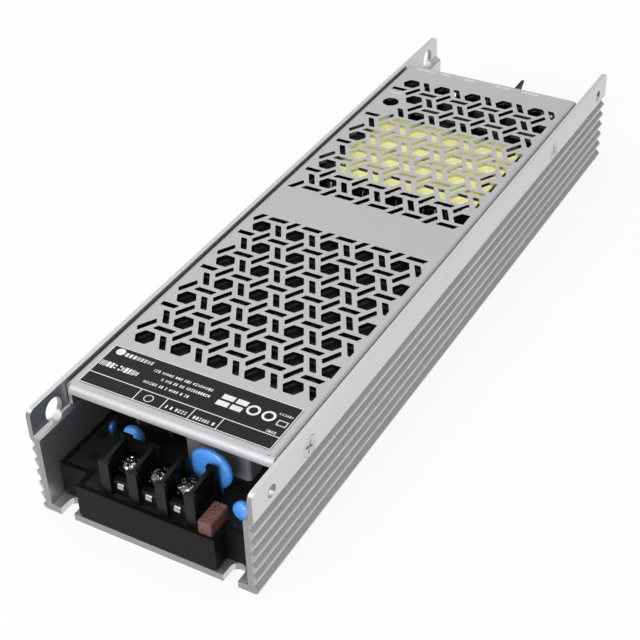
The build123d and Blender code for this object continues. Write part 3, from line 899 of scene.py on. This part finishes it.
# Blocks that stand for letters: two posts, two bars or one full block
letters = {
    "widths": (0.75, 1.0, 1.0, 1.1),
    "heights": (0.78, 1.0, 1.0),
    "postsBelow": 0.35,
    "barsBelow": 0.6,
    "postShare": 0.36,
    "barGap": 0.35,
    "wordGaps": 2,
}


# Row of blocks that stands for a line of print; row is left, right, middle, height, width and gap
def addPrintRow(skin, row, low, high, draws, wordChance):
    x, right, middle, tall, wide, gap = row
    while x + wide <= right + 0.01:
        width = wide * draws.choice(letters["widths"])
        rise = tall * draws.choice(letters["heights"]) / 2
        kind = draws.random()
        if kind < letters["postsBelow"]:
            post = width * letters["postShare"]
            skin.rectangle(x, x + post, middle - rise, middle + rise, low, high)
            skin.rectangle(x + width - post, x + width, middle - rise, middle + rise, low, high)
        elif kind < letters["barsBelow"]:
            near = rise * letters["barGap"]
            skin.rectangle(x, x + width, middle - rise, middle - near, low, high)
            skin.rectangle(x, x + width, middle + near, middle + rise, low, high)
        else:
            skin.rectangle(x, x + width, middle - rise, middle + rise, low, high)
        x += width + gap
        if draws.random() < wordChance:
            x += gap * letters["wordGaps"]


# Frame of four strips inside left, right, front and rear
def addBorder(skin, left, right, front, rear, line, low, high):
    skin.rectangle(left, right, front, front + line, low, high)
    skin.rectangle(left, right, rear - line, rear, low, high)
    skin.rectangle(left, left + line, front + line, rear - line, low, high)
    skin.rectangle(right - line, right, front + line, rear - line, low, high)


# Label: border, cells and rows of plain blocks in white ink; millimetres
labelPrint = {
    "seed": 11,
    "wordChance": 0.18,
    "inkHeight": 0.012,
    "line": 0.24,
    "halfWidth": 26.78,
    "front": -94.97,
    "rear": -79.45,
    "divider": -90.7,
    "cells": (-11.3, -3.7, 4.05, 11.8),
    "disc": (-24.0, -81.3, 1.25),
    "rows": [
        (-22.3, -14.0, -81.6, 1.35, 0.72, 0.36),
        (-26.2, -14.6, -86.6, 1.85, 0.78, 0.26),
        (-12.6, 5.2, -83.4, 0.92, 0.44, 0.24),
        (-9.0, 4.6, -85.6, 0.92, 0.44, 0.24),
        (-12.6, 0.3, -88.0, 0.92, 0.44, 0.24),
        (22.4, 26.2, -83.3, 0.70, 0.42, 0.26),
        (22.6, 25.4, -89.7, 0.80, 0.46, 0.24),
        (-2.6, 3.2, -93.3, 1.05, 0.52, 0.30),
        (5.2, 11.0, -93.5, 1.05, 0.52, 0.30),
    ],
    # left, right, front, rear
    "blocks": [
        (7.3, 10.6, -84.8, -83.1),
        (11.2, 14.2, -84.8, -83.1),
        (7.0, 10.3, -87.2, -85.5),
        (10.9, 13.9, -87.2, -85.5),
    ],
    # x, y, radius, width
    "rings": [(16.4, -85.1, 1.75, 0.62), (20.6, -85.2, 1.75, 0.62), (-7.8, -92.8, 1.25, 0.22)],
    "frame": (23.4, 26.0, -87.1, -85.2),
}


def buildLabelPrint():
    skin = Skin()
    draws = random.Random(labelPrint["seed"])
    low = boxOf("rating_label")[1].z
    high = low + labelPrint["inkHeight"]
    line = labelPrint["line"]
    wide = labelPrint["halfWidth"]
    front, rear, divider = labelPrint["front"], labelPrint["rear"], labelPrint["divider"]
    addBorder(skin, -wide, wide, front, rear, line, low, high)
    skin.rectangle(-wide + line, wide - line, divider, divider + line, low, high)
    for x in labelPrint["cells"]:
        skin.rectangle(x, x + line, front + line, divider, low, high)
    for row in labelPrint["rows"]:
        addPrintRow(skin, row, low, high, draws, labelPrint["wordChance"])
    for block in labelPrint["blocks"]:
        skin.rectangle(*block, low, high)
    for x, y, radius, width in labelPrint["rings"]:
        skin.ring((x, y), radius, width, low, high)
    x, y, radius = labelPrint["disc"]
    skin.turned([(radius, low), (radius, high)], Matrix.Translation((x, y, 0)), 24)
    addBorder(skin, *labelPrint["frame"], line, low, high)
    makePiece("label_print", skin, "ink")


# Small rows beside the output end and the adjuster hole
coverPrint = {
    "seed": 5,
    "wordChance": 0.05,
    "inkHeight": 0.012,
    "rows": [
        (-25.3, -18.5, 86.0, 1.0, 0.55, 0.30),
        (-16.7, -13.2, 86.0, 1.0, 0.55, 0.30),
        (-8.2, -4.8, 86.0, 1.0, 0.55, 0.30),
        (2.6, 7.8, 86.0, 1.0, 0.55, 0.30),
        (11.4, 16.8, 86.0, 1.0, 0.55, 0.30),
        (-26.1, -22.0, 68.2, 0.8, 0.40, 0.25),
    ],
}


def buildCoverPrint():
    skin = Skin()
    draws = random.Random(coverPrint["seed"])
    low = boxOf("rating_label")[0].z
    high = low + coverPrint["inkHeight"]
    for row in coverPrint["rows"]:
        addPrintRow(skin, row, low, high, draws, coverPrint["wordChance"])
    makePiece("cover_print", skin, "coverInk")


buildLabelPrint()
buildCoverPrint()
print("print on the label and cover")


# Dipped discs: lens body, coating that runs down two leads
discs = {
    "boardTop": 12.0,
    "fullness": 0.72,
    "leadRadius": 0.24,
    "skirtRadius": 0.45,
    "skirtLength": 1.0,
    "skirtOverlap": 0.9,
    "skirtShare": 0.8,
    "skirtFade": 0.6,
    "profileSteps": 14,
    "leadSteps": 10,
    # disc whose coat is the blue epoxy painted darker as shade
    "paintedShadeDisc": "y_capacitor_side",
    # name: centre, diameter, thickness, lead pitch, turn about Z in degrees
    "pieces": {
        "varistor": ((10.5, -95.6, 18.9), 11.7, 2.9, 5.0, 0),
        "y_capacitor_left": ((-13.6, -93.0, 17.0), 6.0, 2.6, 2.6, 0),
        "y_capacitor_side": ((-22.6, -89.9, 13.9), 3.0, 1.6, 1.6, -88),
        "y_capacitor_right": ((22.4, -101.2, 15.4), 5.2, 2.8, 2.0, 0),
    },
}


def buildDisc(name, place, diameter, thickness, pitch, turn):
    skin = Skin()
    centre = Vector(place)
    turned = Matrix.Rotation(math.radians(turn), 4, "Z")
    upright = Matrix.Translation(centre) @ turned @ Matrix.Rotation(math.radians(90), 4, "X")
    power = discs["fullness"]
    profile = []
    for step in range(discs["profileSteps"] + 1):
        angle = math.pi * (step / discs["profileSteps"] - 0.5)
        reach = max(0.04, math.cos(angle)) ** power
        depth = math.copysign(abs(math.sin(angle)) ** power, angle)
        profile.append((reach * diameter / 2, depth * thickness / 2))
    skin.turned(profile, upright, 56)
    for side in (-pitch / 2, pitch / 2):
        foot = turned @ Vector((side, 0, 0)) + centre
        edge = centre.z - math.sqrt(max(0.0, diameter ** 2 / 4 - side ** 2))
        start = edge + discs["skirtOverlap"]
        length = start - discs["boardTop"]
        skirt = min(discs["skirtLength"] + discs["skirtOverlap"], length * discs["skirtShare"])
        path = []
        radii = []
        for step in range(discs["leadSteps"] + 1):
            drop = length * (step / discs["leadSteps"])
            fade = max(0.0, 1 - drop / skirt) ** discs["skirtFade"]
            path.append((foot.x, foot.y, start - drop))
            radii.append(discs["leadRadius"] + (discs["skirtRadius"] - discs["leadRadius"]) * fade)
        skin.bar(path, radii, 12)
    coat = "epoxyInPaintedShade" if name == discs["paintedShadeDisc"] else "epoxy"
    makePiece(name + "_dipped", skin, coat, [name], 60)


for name, form in discs["pieces"].items():
    buildDisc(name, *form)


# Screw heads with their recess, seated where the solid heads are; millimetres and degrees
screwHeads = {
    "rings": 22,
    "steps": 72,
    "slotWidth": 0.75,
    "slotDepth": 0.55,
    "crossWidth": 0.80,
    "crossReach": 0.62,
    "crossDepth": 1.0,
    "depthShare": 0.62,
    "sideBlur": 0.12,
    "tipBlur": 0.5,
    "dome": 0.34,
    "turns": (20, -35, 65, 10),
    "shankRadius": 1.4,
    "shankOverlap": 0.1,
    "shankSides": 20,
    # node: ways, pitch, head radius, head height
    "terminals": {
        "input_terminal_screws": (3, 7.95, 2.4, 1.7),
        "output_terminal_screws": (4, 8.2, 3.0, 1.5),
    },
    "coverHeadRadius": 2.85,
    "coverHeadGap": 0.14,
    "coverHeadHeight": 1.0,
    "coverHeadSink": 0.02,
    "coverShankFrom": 0.95,
    "coverShankTo": 4.9,
    "coverCrossWidth": 0.7,
    "coverTurns": (35, 5, 70, 20),
}


# 1 inside a distance from the middle, 0 outside, with a soft border
def within(distance, limit, blur):
    value = min(1.0, max(0.0, (distance - limit) / blur + 0.5))
    return 1 - value * value * (3 - 2 * value)


# Head as a polar height field over a frame whose local Z points out of the screw
def addHead(skin, frame, radius, height, dome, crossWidth, slotted):
    values = screwHeads
    rings = []
    for ring in range(values["rings"] + 1):
        reach = max(0.02, ring / values["rings"]) * radius
        loop = []
        for angle in turnsOf(values["steps"]):
            x, y = reach * math.cos(angle), reach * math.sin(angle)
            rise = height * (1 - dome * (reach / radius) ** 3)
            narrow, wide = sorted((abs(x), abs(y)))
            arm = within(narrow, crossWidth / 2, values["sideBlur"])
            tip = within(wide, values["crossReach"] * radius, values["tipBlur"])
            depth = arm * tip * min(values["crossDepth"], height * values["depthShare"])
            if slotted:
                slot = within(abs(y), values["slotWidth"] / 2, values["sideBlur"])
                depth = max(depth, slot * values["slotDepth"])
            loop.append(frame @ Vector((x, y, rise - depth)))
        rings.append(loop)
    rings.append([
        frame @ Vector((radius * math.cos(angle), radius * math.sin(angle), 0))
        for angle in turnsOf(values["steps"])
    ])
    skin.join(rings)


def buildTerminalScrews(node, ways, pitch, radius, height):
    skin = Skin()
    low, high = boxOf(node)
    middle = (low + high) / 2
    overlap = screwHeads["shankOverlap"]
    for way in range(ways):
        x = middle.x + (way - (ways - 1) / 2) * pitch
        turn = Matrix.Rotation(math.radians(screwHeads["turns"][way]), 4, "Z")
        frame = Matrix.Translation((x, middle.y, high.z - height)) @ turn
        addHead(skin, frame, radius, height, screwHeads["dome"], screwHeads["crossWidth"], True)
        shank = [(x, middle.y, low.z + overlap), (x, middle.y, high.z - height + overlap)]
        skin.bar(shank, screwHeads["shankRadius"], screwHeads["shankSides"])
    makePiece(node + "_driven", skin, "screw", [node], 38)


def buildCoverScrews():
    skin = Skin()
    low, high = boxOf("cover_screws")
    radius = screwHeads["coverHeadRadius"]
    headHeight = screwHeads["coverHeadHeight"]
    z = (low.z + high.z) / 2
    turns = iter(screwHeads["coverTurns"])
    for side, outer in ((-1, low.x), (1, high.x)):
        for y in (low.y + radius, high.y - radius):
            outward = Matrix.Rotation(math.radians(90 * side), 4, "Y")
            turn = Matrix.Rotation(math.radians(next(turns)), 4, "Z")
            seat = outer - side * (headHeight + screwHeads["coverHeadSink"])
            frame = Matrix.Translation((seat, y, z)) @ outward @ turn
            head = radius - screwHeads["coverHeadGap"]
            addHead(skin, frame, head, headHeight, 0.0, screwHeads["coverCrossWidth"], False)
            shank = [
                (outer - side * screwHeads["coverShankTo"], y, z),
                (outer - side * screwHeads["coverShankFrom"], y, z),
            ]
            skin.bar(shank, screwHeads["shankRadius"], screwHeads["shankSides"])
    makePiece("cover_screws_driven", skin, "coverScrew", ["cover_screws"], 38)


for name, form in screwHeads["terminals"].items():
    buildTerminalScrews(name, *form)
buildCoverScrews()
print("discs and screws")


# Enamelled wire wound on the filter choke; millimetres and degrees
choke = {
    "centre": (-13.0, -77.0),
    "outer": 9.0,
    "inner": 4.8,
    "wireRadius": 0.55,
    "turns": 9,
    "arc": 128.0,
    "middles": (0.0, 180.0),
    "cornerShares": (0.16, 0.06),
}


def buildWindings():
    skin = Skin()
    coreLow, coreHigh = boxOf("filter_choke_core")
    x, y = choke["centre"]
    wire = choke["wireRadius"]
    inner, outer = choke["inner"] - wire, choke["outer"] + wire
    bottom, top = coreLow.z - wire, coreHigh.z + wire
    loop = [(inner, bottom), (outer, bottom), (outer, top), (inner, top)]
    corners = choke["turns"] * 4
    for middle in choke["middles"]:
        path = []
        for index in range(corners + 1):
            reach, rise = loop[index % 4]
            angle = math.radians(middle - choke["arc"] / 2 + choke["arc"] * index / corners)
            path.append(Vector((x + reach * math.cos(angle), y + reach * math.sin(angle), rise)))
        rounded = [path[0]]
        for before, here, after in zip(path, path[1:], path[2:]):
            rounded += [here.lerp(before, share) for share in choke["cornerShares"]]
            rounded += [here.lerp(after, share) for share in reversed(choke["cornerShares"])]
        rounded.append(path[-1])
        skin.bar(rounded, wire)
    makePiece("filter_choke_wire", skin, "copper", ["filter_choke_windings"], 60)


buildWindings()
print("choke wound")


# Beak on the centre divider of the output strip: (y, z) outline between two x, in millimetres
divider = {
    "left": 1.75,
    "right": 2.80,
    "outline": ((99.0, 18.6), (100.6, 21.6), (110.2, 21.7), (107.4, 18.9), (107.2, 18.6)),
    "rounding": 0.12,
}


def buildDivider():
    skin = Skin()
    skin.join([[(x, y, z) for y, z in divider["outline"]] for x in (divider["left"], divider["right"])])
    addEdges(makePiece("output_divider_tip", skin, "block"), divider["rounding"])


buildDivider()


# Black blocks over the plates, in front of the mains screws, that hide the plates' tops; millimetres
plateLips = {
    "middles": (-7.1, 0.85, 8.8),
    "halfWidth": 2.55,
    "front": -107.5,
    "rear": -105.5,
    "low": 15.3,
    "high": 16.75,
    "rounding": 0.2,
}


def buildPlateLips():
    skin = Skin()
    half = plateLips["halfWidth"]
    sides = [plateLips[side] for side in ("front", "rear", "low", "high")]
    for middle in plateLips["middles"]:
        skin.rectangle(middle - half, middle + half, *sides)
    addEdges(makePiece("input_terminal_lips", skin, "block"), plateLips["rounding"])


buildPlateLips()


# Right end of the cover's lip, out to the wall: the lip's own section along x, in millimetres
lipEnd = {
    "left": 27.2,
    "right": 29.15,
    "rear": -96.3,
    "bendAt": (-96.7, 29.4),
    "outer": 1.4,
    "inner": 0.4,
    "bottom": 28.85,
    "steps": 8,
}


def buildLipEnd():
    y, z = lipEnd["bendAt"]
    outer, inner = lipEnd["outer"], lipEnd["inner"]
    angles = [math.pi / 2 * step / lipEnd["steps"] for step in range(lipEnd["steps"] + 1)]
    section = [
        (lipEnd["rear"], z + outer),
        *[(y - outer * math.sin(angle), z + outer * math.cos(angle)) for angle in angles],
        (y - outer, lipEnd["bottom"]),
        (y - inner, lipEnd["bottom"]),
        *[(y - inner * math.sin(angle), z + inner * math.cos(angle)) for angle in reversed(angles)],
        (lipEnd["rear"], z + inner),
    ]
    skin = Skin()
    skin.join([[(x, *place) for place in section] for x in (lipEnd["left"], lipEnd["right"])])
    makePiece("cover_lip_end", skin, "cover")


buildLipEnd()


# Enamelled wires down the front of the coils, in millimetres
coilLeads = {
    "seed": 3,
    "from": -19.5,
    "to": 23.5,
    "y": 18.6,
    "sway": 0.25,
    "low": 12.0,
    "high": 26.4,
    "drop": 1.2,
    "radius": 0.85,
    "spacing": (1.9, 2.2),
    # y and z from the top of a wire
    "bend": ((0, -1.2), (0.5, 0), (1.6, 0.3)),
}

# Crinkled seam between the two coils, in millimetres
coilSeam = {
    "from": -6.0,
    "to": 15.0,
    "y": 35.7,
    "z": 27.75,
    "rises": (0.0, 0.22),
    "sway": 0.5,
    "wave": 0.1,
    "spacing": (0.5, 1.1),
    "radius": 0.34,
}


# The leads and the seam share one row of random draws
def buildCoilWires():
    draws = random.Random(coilLeads["seed"])
    leads = Skin()
    x = coilLeads["from"]
    while x < coilLeads["to"]:
        y = coilLeads["y"] + draws.uniform(-coilLeads["sway"], coilLeads["sway"])
        top = coilLeads["high"] - draws.uniform(0.0, coilLeads["drop"])
        path = [(x, y, coilLeads["low"]), *[(x, y + back, top + rise) for back, rise in coilLeads["bend"]]]
        leads.bar(path, coilLeads["radius"], 10)
        x += coilLeads["radius"] * draws.uniform(*coilLeads["spacing"])
    makePiece("transformer_leads", leads, "darkEnamel")
    seam = Skin()
    sway, wave = coilSeam["sway"], coilSeam["wave"]
    for rise in coilSeam["rises"]:
        path = []
        x = coilSeam["from"]
        while x < coilSeam["to"]:
            y = coilSeam["y"] + draws.uniform(-sway, sway)
            path.append((x, y, coilSeam["z"] + rise + draws.uniform(-wave, wave)))
            x += draws.uniform(*coilSeam["spacing"])
        seam.bar(path, coilSeam["radius"], 6)
    makePiece("transformer_seam", seam, "darkEnamel")


buildCoilWires()
print("divider tip, lips, lip end and coil wires")


# Studio: pale floor, a sky that brightens with height and two lamps; metres
studio = {
    "floorColour": (0.82, 0.82, 0.82),
    "floorWhite": 0.86,
    "floorSize": 12.0,
    "skyStrength": 1.22,
    "skyStops": [(0.0, 0.15), (0.18, 0.18), (0.45, 0.50), (0.70, 0.72), (0.90, 0.93), (1.0, 0.96)],
    "skyLean": 0.30,
    # name: place, size, strength, aim
    "lamps": {
        "keyLamp": ((-0.30, -0.80, 0.95), (0.9, 0.9), 2.4, (0, 0, 0.02)),
        "frontLamp": ((0.15, -1.15, 0.50), (0.6, 0.4), 6.0, (0, -0.1, 0.02)),
    },
}

half = studio["floorSize"] / 2
floorCorners = [(x * half, y * half, 0) for x, y in ((-1, -1), (1, -1), (1, 1), (-1, 1))]
floorMesh = bpy.data.meshes.new("floor")
floorMesh.from_pydata(floorCorners, [], [(0, 1, 2, 3)])
floor = bpy.data.objects.new("floor", floorMesh)
bpy.context.scene.collection.objects.link(floor)


# Floor paper that the camera and reflections see as nearly plain white
def floorFinish():
    finish = Finish("floorPaper")
    grain = finish.noise(40.0, 2.0)
    finish.set(
        Base_Color=finish.blend(grain, shaded(studio["floorColour"], 0.99), studio["floorColour"]),
        Roughness=0.9,
        Specular_IOR_Level=0.0,
    )
    seen = finish.add("ShaderNodeLightPath", {}, {}, "Is Camera Ray")
    mirrored = finish.add("ShaderNodeLightPath", {}, {}, "Is Glossy Ray")
    through = finish.add("ShaderNodeLightPath", {}, {}, "Is Transmission Ray")
    white = finish.add("ShaderNodeEmission", {}, {"Color": (1, 1, 1), "Strength": 1.0})
    share = (seen + mirrored + through).clipped() * studio["floorWhite"]
    mixed = finish.add("ShaderNodeMixShader", {}, {0: share})
    mixNode = mixed.socket.node
    finish.tree.links.new(finish.shader.outputs[0], mixNode.inputs[1])
    finish.tree.links.new(white.socket, mixNode.inputs[2])
    finish.tree.links.new(mixed.socket, finish.tree.nodes["Material Output"].inputs["Surface"])
    return finish.material


floorMesh.materials.append(floorFinish())

world = bpy.data.worlds.new("sky")
bpy.context.scene.world = world
world.use_nodes = True
sky = Wiring(world.node_tree)
direction = sky.add("ShaderNodeTexCoord", {}, {}, "Generated")
elevation = sky.add("ShaderNodeSeparateXYZ", {}, {"Vector": direction}, "Z")
across = sky.add("ShaderNodeSeparateXYZ", {}, {"Vector": direction}, "X")
background = world.node_tree.nodes["Background"]
sky.plug(background.inputs["Color"], sky.ramp(elevation - across * studio["skyLean"], studio["skyStops"]))
background.inputs["Strength"].default_value = studio["skyStrength"]


def addLamp(name, place, size, strength, aim):
    lamp = bpy.data.lights.new(name, "AREA")
    lamp.shape = "RECTANGLE"
    lamp.size, lamp.size_y = size
    lamp.energy = strength
    holder = bpy.data.objects.new(name, lamp)
    bpy.context.scene.collection.objects.link(holder)
    holder.location = place
    holder.rotation_mode = "QUATERNION"
    holder.rotation_quaternion = (Vector(aim) - Vector(place)).to_track_quat("-Z", "Y")


for name, form in studio["lamps"].items():
    addLamp(name, *form)

# Camera at the photograph's angle; turn, tilt and lean in degrees, distances in metres
cameraSetup = {
    "turn": 30.576,
    "tilt": 36.992,
    "lean": -2.133,
    "distance": 0.39943,
    "slideRight": -0.012437,
    "slideUp": -0.01653,
    "target": (0, 0, 0.015),
    "focalPixels": 1402.946,
    "imagePixels": 640,
    "sensor": 36.0,
    "clipStart": 0.01,
    "clipEnd": 50,
}
turn = math.radians(cameraSetup["turn"])
tilt = math.radians(cameraSetup["tilt"])
lean = math.radians(cameraSetup["lean"])
back = Vector((math.sin(turn) * math.cos(tilt), -math.cos(turn) * math.cos(tilt), math.sin(tilt)))
level = Vector((math.cos(turn), math.sin(turn), 0))
rise = back.cross(level)
right = math.cos(lean) * level + math.sin(lean) * rise
up = -math.sin(lean) * level + math.cos(lean) * rise
cameraData = bpy.data.cameras.new("camera")
cameraData.sensor_width = cameraSetup["sensor"]
cameraData.lens = cameraSetup["focalPixels"] / cameraSetup["imagePixels"] * cameraSetup["sensor"]
cameraData.clip_start = cameraSetup["clipStart"]
cameraData.clip_end = cameraSetup["clipEnd"]
camera = bpy.data.objects.new("camera", cameraData)
bpy.context.scene.collection.objects.link(camera)
eye = Vector(cameraSetup["target"]) + back * cameraSetup["distance"]
eye += right * cameraSetup["slideRight"] + up * cameraSetup["slideUp"]
facing = Matrix((right, up, back)).transposed().to_4x4()
camera.matrix_world = Matrix.Translation(eye) @ facing
bpy.context.scene.camera = camera
bpy.context.scene.view_settings.view_transform = "Standard"
print("studio and camera ready")
